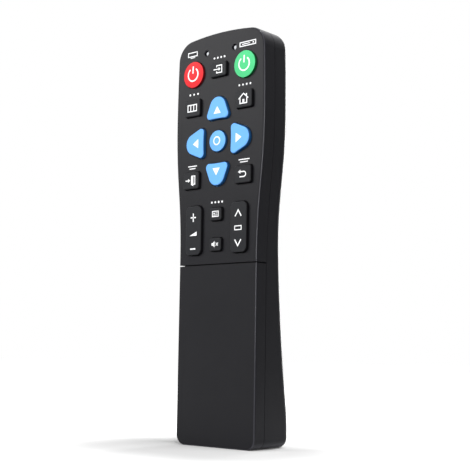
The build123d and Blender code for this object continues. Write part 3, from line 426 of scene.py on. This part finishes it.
# %% [markdown]
# ## White print
#
# The marks on the keys are screen-printed: a film of white ink about 0.03 mm thick. Each one is
# made as real geometry, so that it also shows in the exported meshes. A mark is drawn flat, in
# millimetres, with two kinds of shape: a stroke, which is a band of even width along a path, and
# a fill, which is an outline. Both get a front, a back and walls, and are then laid on the key's
# surface, which is flat or slightly domed.

# %% Strokes and fills as closed films
STROKE_MM = 0.52
INK_MM, SUNK_MM = 0.03, 0.05
DEPTH_OF_FACE, KEY_PROUD = -12.45, 1.5


def stroke(path, width=STROKE_MM, closed=False):
    """Edges lie half a width / cos(half turn) off the path, along the mean of two normals."""
    path = np.asarray(path, float)
    steps = np.roll(path, -1, axis=0) - path
    steps /= np.linalg.norm(steps, axis=1, keepdims=True)
    before = np.roll(steps, 1, axis=0)
    if not closed:
        steps[-1], before[0] = steps[-2], steps[0]
    normals = np.stack([-steps[:, 1], steps[:, 0]], axis=1)
    old = np.stack([-before[:, 1], before[:, 0]], axis=1)
    mean = normals + old
    mean /= np.linalg.norm(mean, axis=1, keepdims=True)
    reach = width / 2 / np.sum(mean * normals, axis=1, keepdims=True)
    left, right = path + mean * reach, path - mean * reach
    count = len(path)
    flat = np.stack([left, right, right, left], axis=1).reshape(-1, 2)
    layer = np.tile([0, 0, 1, 1], count)
    rows = np.arange(count if closed else count - 1)[:, None]
    columns = np.arange(4)[None, :]
    here, ahead = 4 * rows, 4 * ((rows + 1) % count)
    beside = (columns + 1) % 4
    faces = np.stack([here + columns, here + beside, ahead + beside, ahead + columns], axis=-1)
    faces = faces.reshape(-1, 4).tolist()
    if not closed:
        last = 4 * (count - 1)
        faces += [[3, 2, 1, 0], [last, last + 1, last + 2, last + 3]]
    return flat, layer, faces


def fill(outline):
    """A front and a back of the outline, given anticlockwise, and a wall under each edge."""
    outline = np.asarray(outline, float)
    count = len(outline)
    ring = np.arange(count)
    after = (ring + 1) % count
    walls = np.stack([ring, ring + count, after + count, after], axis=1)
    faces = [ring.tolist(), (ring[::-1] + count).tolist(), *walls.tolist()]
    return np.tile(outline, (2, 1)), np.repeat([0, 1], count), faces


def arc(radius, start, end, centre=(0, 0), steps=28):
    """Points at centre + radius (cos a, sin a), with a from start to end in degrees."""
    angle = np.radians(np.linspace(start, end, steps))
    return np.stack([np.cos(angle), np.sin(angle)], axis=1) * radius + np.asarray(centre)


def disc(radius, centre=(0, 0)):
    """A round fill with 24 corners."""
    return fill(arc(radius, 0, 360, centre, 25)[:-1])


print("film:", INK_MM, "mm proud,", SUNK_MM, "mm sunk")


# %% Lay a mark on a surface
def flat_top(depth):
    """A flat key top or face, at one depth."""
    return lambda x, z: np.full_like(x, depth)


def domed_top(depth, radius, rise=0.5):
    """A ball's cap: depth + R - sqrt(R^2 - x^2 - z^2), where R gives the rise at the edge."""
    ball = (radius**2 + rise**2) / (2 * rise)
    return lambda x, z: depth + ball - np.sqrt(ball**2 - x**2 - z**2)


def print_mark(name, body, place, shapes, surface):
    """Joins a mark's films into one piece: x and z from the drawing, y from the surface."""
    points, faces, start = [], [], 0
    for flat, layer, rings in shapes:
        x, z = flat[:, 0], flat[:, 1]
        y = surface(x, z) + np.where(layer == 0, -INK_MM, SUNK_MM)
        points.append(np.stack([x + place[0], y, z + place[1]], axis=1))
        faces += [[start + index for index in ring] for ring in rings]
        start += len(flat)
    mesh = bpy.data.meshes.new(name)
    mesh.from_pydata((np.vstack(points) * MM).tolist(), [], faces)
    mesh.materials.append(ink_white)
    piece = bpy.data.objects.new(name, mesh)
    bpy.context.scene.collection.objects.link(piece)
    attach(piece, body)
    return piece


KEY_TOP = flat_top(DEPTH_OF_FACE - KEY_PROUD)
FACE_TOP = flat_top(DEPTH_OF_FACE)
print("key tops at", DEPTH_OF_FACE - KEY_PROUD, "mm")

# %% [markdown]
# ## Marks on the front keys
#
# The signs are the ones that any remote has: a ring with a bar for power, a box with an arrow
# for the input, a frame with columns for the menu, a house, a door, a return arrow, a page, a
# crossed loudspeaker, plus and minus, and two chevrons. The arrow keys have solid triangles.

# %% Draw and print the signs
POWER_X, POWER_Z, POWER_RADIUS, POWER_STROKE_MM = 16.6, 181.0, 6.5, 0.74
upright = np.stack([np.zeros(9), np.linspace(0.5, 4.2, 9)], axis=1)
power = [stroke(shape, POWER_STROKE_MM) for shape in (arc(3.25, 125, 415), upright)]
signs = {
    "key_input": [
        stroke([(-0.8, 1.0), (-0.8, 1.8), (2.5, 1.8), (2.5, -1.8), (-0.8, -1.8), (-0.8, -1.0)]),
        stroke([(-2.8, 0), (0.6, 0)]),
        fill([(0.5, -0.95), (1.7, 0), (0.5, 0.95)]),
    ],
    "key_menu": [
        stroke([(-2.9, -1.6), (2.9, -1.6), (2.9, 1.6), (-2.9, 1.6)], closed=True),
        stroke([(-1.0, -1.6), (-1.0, 1.6)]),
        stroke([(1.0, -1.6), (1.0, 1.6)]),
    ],
    "key_home": [
        stroke([(-3.0, 0.0), (0, 2.5), (3.0, 0.0)]),
        stroke([(-2.1, 0.4), (-2.1, -2.2), (2.1, -2.2), (2.1, 0.4)]),
        fill([(-0.6, -2.1), (0.6, -2.1), (0.6, -0.3), (-0.6, -0.3)]),
        fill([(1.5, 1.2), (2.2, 0.7), (2.2, 2.3), (1.5, 2.3)]),
    ],
    "key_exit": [
        stroke([(0.4, 2.1), (2.7, 2.1), (2.7, -2.0), (1.8, -2.0)]),
        fill([(0.2, -2.1), (1.7, -2.9), (1.7, 1.5), (0.2, 2.3)]),
        stroke([(-3.5, 0), (-1.6, 0)]),
        fill([(-1.8, -1.0), (-0.5, 0), (-1.8, 1.0)]),
    ],
    "key_back": [
        stroke(np.vstack([[(-1.4, 1.15)], arc(1.2, 90, -90, (0.9, -0.05), 14), [(-1.7, -1.25)]])),
        fill([(-2.7, 1.15), (-1.2, 0.2), (-1.2, 2.1)]),
    ],
    "key_guide": [
        stroke([(-1.9, -1.25), (1.9, -1.25), (1.9, 1.25), (-1.9, 1.25)], 0.4, closed=True),
        fill([(-1.2, -0.1), (-0.4, -0.1), (-0.4, 0.6), (-1.2, 0.6)]),
        stroke([(0.1, 0.4), (1.3, 0.4)], 0.32),
        stroke([(-1.2, -0.55), (1.3, -0.55)], 0.32),
    ],
    "key_mute": [
        fill([(-2.1, -0.6), (-1.3, -0.6), (-0.2, -1.5), (-0.2, 1.5), (-1.3, 0.6), (-2.1, 0.6)]),
        stroke([(0.6, -0.7), (2.0, 0.7)], 0.4),
        stroke([(0.6, 0.7), (2.0, -0.7)], 0.4),
    ],
}
sign_places = {
    "key_input": (0, 181.0),
    "key_menu": (-16.6, 164.0),
    "key_home": (16.6, 164.0),
    "key_exit": (-16.6, 127.8),
    "key_back": (16.6, 127.8),
    "key_guide": (0, 110.1),
    "key_mute": (0, 95.5),
}
for key, shapes in signs.items():
    print_mark("print_" + key, key, sign_places[key], shapes, KEY_TOP)
for key, x in (("key_power_red", -POWER_X), ("key_power_green", POWER_X)):
    dome = domed_top(DEPTH_OF_FACE - KEY_PROUD, POWER_RADIUS)
    print_mark("print_" + key, key, (x, POWER_Z), power, dome)
print("signs printed:", len(signs) + 2)

# %% Print the arrow keys, the middle key and the rockers
PAD_X, PAD_Z, MIDDLE_RADIUS = 13.6, 145.7, 5.25
ROCKER_X, ROCKER_Z = 14.4, 103.0
TRIANGLE = np.array([(-2.3, -1.5), (2.3, -1.5), (0, 2.1)])
quarter_turn = np.array([[0, 1], [-1, 0]])
arrows = {
    "key_up": (0, 160.6, 0),
    "key_left": (-PAD_X, PAD_Z, 1),
    "key_down": (0, 130.9, 2),
    "key_right": (PAD_X, PAD_Z, 3),
}
for key, (x, z, quarters) in arrows.items():
    outline = TRIANGLE @ np.linalg.matrix_power(quarter_turn, quarters)
    print_mark("print_" + key, key, (x, z), [fill(outline)], KEY_TOP)
middle = [stroke(arc(1.9, 0, 360, steps=33)[:-1], 0.6, closed=True)]
dome = domed_top(DEPTH_OF_FACE - KEY_PROUD, MIDDLE_RADIUS)
print_mark("print_key_ok", "key_ok", (0, PAD_Z), middle, dome)

volume = [
    stroke([(-1.7, 6.3), (1.7, 6.3)], 0.62),
    stroke([(0, 4.2), (0, 8.4)], 0.62),
    stroke([(-1.7, -9.0), (1.7, -9.0)], 0.62),
    fill([(-2.4, -2.6), (2.4, -2.6), (2.4, -0.6)]),
]
channel = [
    stroke([(-1.9, 5.0), (0, 7.9), (1.9, 5.0)], 0.6),
    stroke([(-1.9, -6.0), (0, -8.9), (1.9, -6.0)], 0.6),
    stroke([(-2.0, -1.4), (2.0, -1.4), (2.0, 0.4), (-2.0, 0.4)], 0.45, closed=True),
]
print_mark("print_rocker_volume", "rocker_volume", (-ROCKER_X, ROCKER_Z), volume, KEY_TOP)
print_mark("print_rocker_channel", "rocker_channel", (ROCKER_X, ROCKER_Z), channel, KEY_TOP)
print("arrows, middle key and rockers printed")

# %% [markdown]
# ## Marks on the face
#
# Above the keys the face carries small white marks, which say what a key is for. Plain shapes
# serve: a screen, a box, and rows of dots or bars of about the size that such print has.

# %% Print the face
DOT_MM, FINE_STROKE_MM, BAR_PITCH_MM = 0.52, 0.48, 1.2


def dots(count, pitch):
    """A row of round dots about the middle."""
    return [disc(DOT_MM, ((step - (count - 1) / 2) * pitch, 0)) for step in range(count)]


def bars(*widths):
    """Bars over each other, 1.2 mm apart, about the middle."""
    rows = [((len(widths) - 1) / 2 - step) * BAR_PITCH_MM for step in range(len(widths))]
    return [stroke([(-w / 2, z), (w / 2, z)], FINE_STROKE_MM) for w, z in zip(widths, rows)]


def frame_of(width, height, rise=0.0):
    """An open rectangle, with its middle at a height over the mark's place."""
    x, low, high = width / 2, rise - height / 2, rise + height / 2
    return stroke([(-x, low), (x, low), (x, high), (-x, high)], FINE_STROKE_MM, closed=True)


face_marks = {
    "screen": ((-18.3, 191.4), [frame_of(6.0, 2.0, 0.4), stroke([(-1.5, -1.3), (1.5, -1.3)], 0.4)]),
    "box": (
        (17.6, 191.1),
        [frame_of(9.8, 1.9), stroke([(-3.6, 0), (1.4, 0)], 0.4), disc(0.4, (3.4, 0))],
    ),
    "input": ((-0.4, 187.3), dots(4, 2.2)),
    "menu": ((-16.9, 171.2), dots(3, 2.6)),
    "home": ((16.1, 171.3), dots(4, 2.3)),
    "exit": ((-17.0, 134.5), bars(5.8, 4.0)),
    "back": ((16.3, 134.5), bars(6.8, 4.8)),
    "guide": ((-0.4, 116.0), dots(4, 2.2)),
}
for name, (place, shapes) in face_marks.items():
    print_mark("print_face_" + name, "handset", place, shapes, FACE_TOP)
print("face marks:", len(face_marks))

# %% [markdown]
# ## Digits under the cover
#
# The sliding cover hides a number pad. Plain digits are set in Blender's own typeface, given the
# thickness of the ink, and made a mesh at once, so that the piece stays at the origin with its
# place in its points. The two keys beside the 0 carry a dash and a turning arrow.

# %% Print the number pad
DIGIT_MM = 4.9
DECK_DROP = 2.2
PAD_TOP_DEPTH = DEPTH_OF_FACE + DECK_DROP
PAD_TOP = flat_top(PAD_TOP_DEPTH)
PAD_COLUMN, PAD_ROW, PAD_LOW = 13.0, 14.0, 26.0


def print_digit(name, body, digit, x, z):
    """A digit's outlines as a film that reaches from the ink's top to below the key's top."""
    words = bpy.data.curves.new(name, "FONT")
    words.body, words.size = digit, DIGIT_MM * MM
    words.align_x, words.align_y = "CENTER", "CENTER"
    words.extrude, words.resolution_u = (INK_MM + SUNK_MM) / 2 * MM, 4
    draft = bpy.data.objects.new(name + "_draft", words)
    bpy.context.scene.collection.objects.link(draft)
    bpy.context.view_layer.update()
    mesh = bpy.data.meshes.new_from_object(draft)
    bpy.data.objects.remove(draft)
    middle_depth = (PAD_TOP_DEPTH + (SUNK_MM - INK_MM) / 2) * MM
    mesh.transform(Matrix.Translation((x * MM, middle_depth, z * MM)) @ turn("X", 90))
    mesh.materials.clear()
    mesh.materials.append(ink_white)
    piece = bpy.data.objects.new(name, mesh)
    bpy.context.scene.collection.objects.link(piece)
    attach(piece, body)
    return piece


keypad = ["1", "2", "3", "4", "5", "6", "7", "8", "9", "dash", "0", "recall"]
pad_signs = {
    "dash": [stroke([(-1.7, 0), (1.7, 0)], 0.8)],
    "recall": [stroke(arc(1.6, 60, 360)), fill([(0.7, 0.0), (1.6, -1.0), (2.5, 0.0)])],
}
for order, label in enumerate(keypad):
    x, z = (order % 3 - 1) * PAD_COLUMN, PAD_LOW + (3 - order // 3) * PAD_ROW
    name, body = "print_number_" + label, "number_" + label
    if label in pad_signs:
        print_mark(name, body, (x, z), pad_signs[label], PAD_TOP)
    else:
        print_digit(name, body, label, x, z)
print("number keys printed:", len(keypad))

# %% [markdown]
# ## Studio
#
# The remote stands on a white sweep. To the camera, and in gloss and glass, the world is plain
# white. As a light it is dimmer, and brightest in front on the left. The floor is a pale matt
# sheet with a glow added for the same rays. The glow fades towards a small field round the foot,
# so the floor is plain white farther out and shows the soft shadow near the remote. The field's
# lower glow is also painted shade: the floor is a soft grey round the foot even where no shadow
# falls.
#
# A black wall with a sheen would mirror all that white, so a dark cloth stands behind on the
# right, as in product photography. It gives the wall something dark to mirror. The camera and
# the lamps' shadows pass it.



# %% The rays that see the white studio
def rays_that_look(tree):
    """1 for the camera's rays and for those that glass or gloss sends on, else 0."""
    path = add(tree, "ShaderNodeLightPath").outputs
    through = {0: path["Is Camera Ray"], 1: path["Is Transmission Ray"]}
    through = add(tree, "ShaderNodeMath", through, operation="MAXIMUM").outputs[0]
    both = {0: through, 1: path["Is Glossy Ray"]}
    return add(tree, "ShaderNodeMath", both, operation="MAXIMUM").outputs[0]


# %% World
BRIGHT_SIDE, DARK_SIDE = 0.42, 0.02
BRIGHT_WAY = (-0.65, -0.75, 0.1)
world = bpy.data.worlds.new("studio")
bpy.context.scene.world = world
world.use_nodes = True
sky = world.node_tree
sky.nodes.clear()
way = add(sky, "ShaderNodeTexCoord").outputs["Generated"]
along = add(sky, "ShaderNodeVectorMath", {0: way, 1: BRIGHT_WAY}, operation="DOT_PRODUCT")
studio = add(
    sky,
    "ShaderNodeMapRange",
    {
        "Value": along.outputs["Value"],
        "From Min": -1.0,
        "To Min": DARK_SIDE,
        "To Max": BRIGHT_SIDE,
    },
)
level = add(
    sky,
    "ShaderNodeMapRange",
    {"Value": rays_that_look(sky), "To Min": studio.outputs["Result"], "To Max": 1.0},
)
glow = add(sky, "ShaderNodeBackground", {"Color": linear("#ffffff"), "Strength": level.outputs[0]})
add(sky, "ShaderNodeOutputWorld", {"Surface": glow.outputs["Background"]})
print("world:", DARK_SIDE, "to", BRIGHT_SIDE)

# %% Floor
FLOOR_HALF, FLOOR_WHITE, FIBRE_MM = 4.0, "#c4c4c4", 2.0
# NEAR_GLOW and the field round the foot paint shade: the floor is darker there, shadow or not.
NEAR_GLOW, FAR_GLOW = 0.03, 0.88
SHADE_LOW, SHADE_HIGH = (-0.03, -0.035, 0.0), (0.03, -0.015, 0.0)
SHADE_START, SHADE_END = 0.01, 0.08
floor_mesh = bpy.data.meshes.new("floor")
corner = np.array([(-1, -1, 0), (1, -1, 0), (1, 1, 0), (-1, 1, 0)], float) * FLOOR_HALF
floor_mesh.from_pydata(corner.tolist(), [], [(0, 1, 2, 3)])
floor = bpy.data.objects.new("floor", floor_mesh)
bpy.context.scene.collection.objects.link(floor)
paper, tree = blank("matt_white_paper")
fibre = add(
    tree,
    "ShaderNodeTexNoise",
    {"Vector": add(tree, "ShaderNodeTexCoord").outputs["Object"], "Scale": per_mm(FIBRE_MM)},
)
relief = add(
    tree, "ShaderNodeBump", {"Height": fibre.outputs["Fac"], "Strength": 0.2, "Distance": 0.02 * MM}
)
matt = add(
    tree,
    "ShaderNodeBsdfDiffuse",
    {"Color": linear(FLOOR_WHITE), "Normal": relief.outputs["Normal"]},
)
ground = add(tree, "ShaderNodeTexCoord").outputs["Object"]
nearest = ground
for limit, rule in ((SHADE_LOW, "MAXIMUM"), (SHADE_HIGH, "MINIMUM")):
    # Held between the two limits, a place becomes the nearest place of the field.
    nearest = add(tree, "ShaderNodeVectorMath", {0: nearest, 1: limit}, operation=rule).outputs[0]
away = {0: ground, 1: nearest}
away = add(tree, "ShaderNodeVectorMath", away, operation="DISTANCE").outputs["Value"]
# Painted shade: the glow rises from NEAR_GLOW by the foot to FAR_GLOW farther out.
share = add(
    tree,
    "ShaderNodeMapRange",
    {
        "Value": away,
        "From Min": SHADE_START,
        "From Max": SHADE_END,
        "To Min": NEAR_GLOW,
        "To Max": FAR_GLOW,
    },
    interpolation_type="SMOOTHSTEP",
)
lift = add(
    tree,
    "ShaderNodeMath",
    {0: rays_that_look(tree), 1: share.outputs["Result"]},
    operation="MULTIPLY",
)
light = add(tree, "ShaderNodeEmission", {"Strength": lift.outputs[0]})
both = add(tree, "ShaderNodeAddShader", {0: matt.outputs[0], 1: light.outputs[0]})
add(tree, "ShaderNodeOutputMaterial", {"Surface": both.outputs[0]})
floor_mesh.materials.append(paper)
print("floor glow:", NEAR_GLOW, "to", FAR_GLOW)

# %% Dark cloth
CLOTH_X, CLOTH_START, CLOTH_END, CLOTH_HIGH = 0.09, -0.05, 0.6, 0.5
cloth_mesh = bpy.data.meshes.new("dark_cloth")
along = np.array([CLOTH_START, CLOTH_END, CLOTH_END, CLOTH_START])
corner = np.stack([CLOTH_X + along / 2, along, [0, 0, CLOTH_HIGH, CLOTH_HIGH]], axis=1)
cloth_mesh.from_pydata(corner.tolist(), [], [(0, 1, 2, 3)])
cloth_mesh.materials.append(plain("black_cloth", "#0a0a0a", 0.9))
cloth = bpy.data.objects.new("dark_cloth", cloth_mesh)
cloth.visible_camera = cloth.visible_shadow = False
bpy.context.scene.collection.objects.link(cloth)
print("cloth: from x", CLOTH_X + CLOTH_START / 2, "to", CLOTH_X + CLOTH_END / 2)


# %% [markdown]
# ## Lamps
#
# Four soft boxes light the remote. The key stands near in front on the left, a little over the
# head, where the face mirrors it most at the head and less towards the foot. A slim one in front
# on the right draws the thin bright line along the face's edge, and one far behind draws the rim
# of the back. The last hangs overhead on the right and throws the soft shadow to the left of the
# foot.


# %% Lamps
def soft_box(name, place, target, width, height, power):
    """A rectangular lamp at a place in metres, turned to face its target and hidden itself."""
    data = bpy.data.lights.new(name, "AREA")
    data.shape, data.size, data.size_y, data.energy = "RECTANGLE", width, height, power
    lamp = bpy.data.objects.new(name, data)
    ray = Matrix.Translation(target).translation - Matrix.Translation(place).translation
    facing = ray.to_track_quat("-Z", "Y").to_matrix().to_4x4()
    lamp.matrix_world = Matrix.Translation(place) @ facing
    lamp.visible_camera = False
    bpy.context.scene.collection.objects.link(lamp)
    return lamp


FOOT, MIDDLE, HEAD = (0.0, 0.0, 0.0), (0.0, 0.0, 0.1), (0.0, 0.0, 0.17)
soft_box("key_light", (-0.4, -0.46, 0.42), HEAD, 0.3, 0.3, 2.2)
soft_box("edge_light", (0.6, -0.56, 0.25), MIDDLE, 0.1, 0.3, 5.5)
soft_box("rim_light", (-0.12, 0.85, 0.3), MIDDLE, 0.2, 0.5, 6.0)
soft_box("top_light", (0.24, -0.02, 0.9), FOOT, 0.35, 0.35, 6.5)
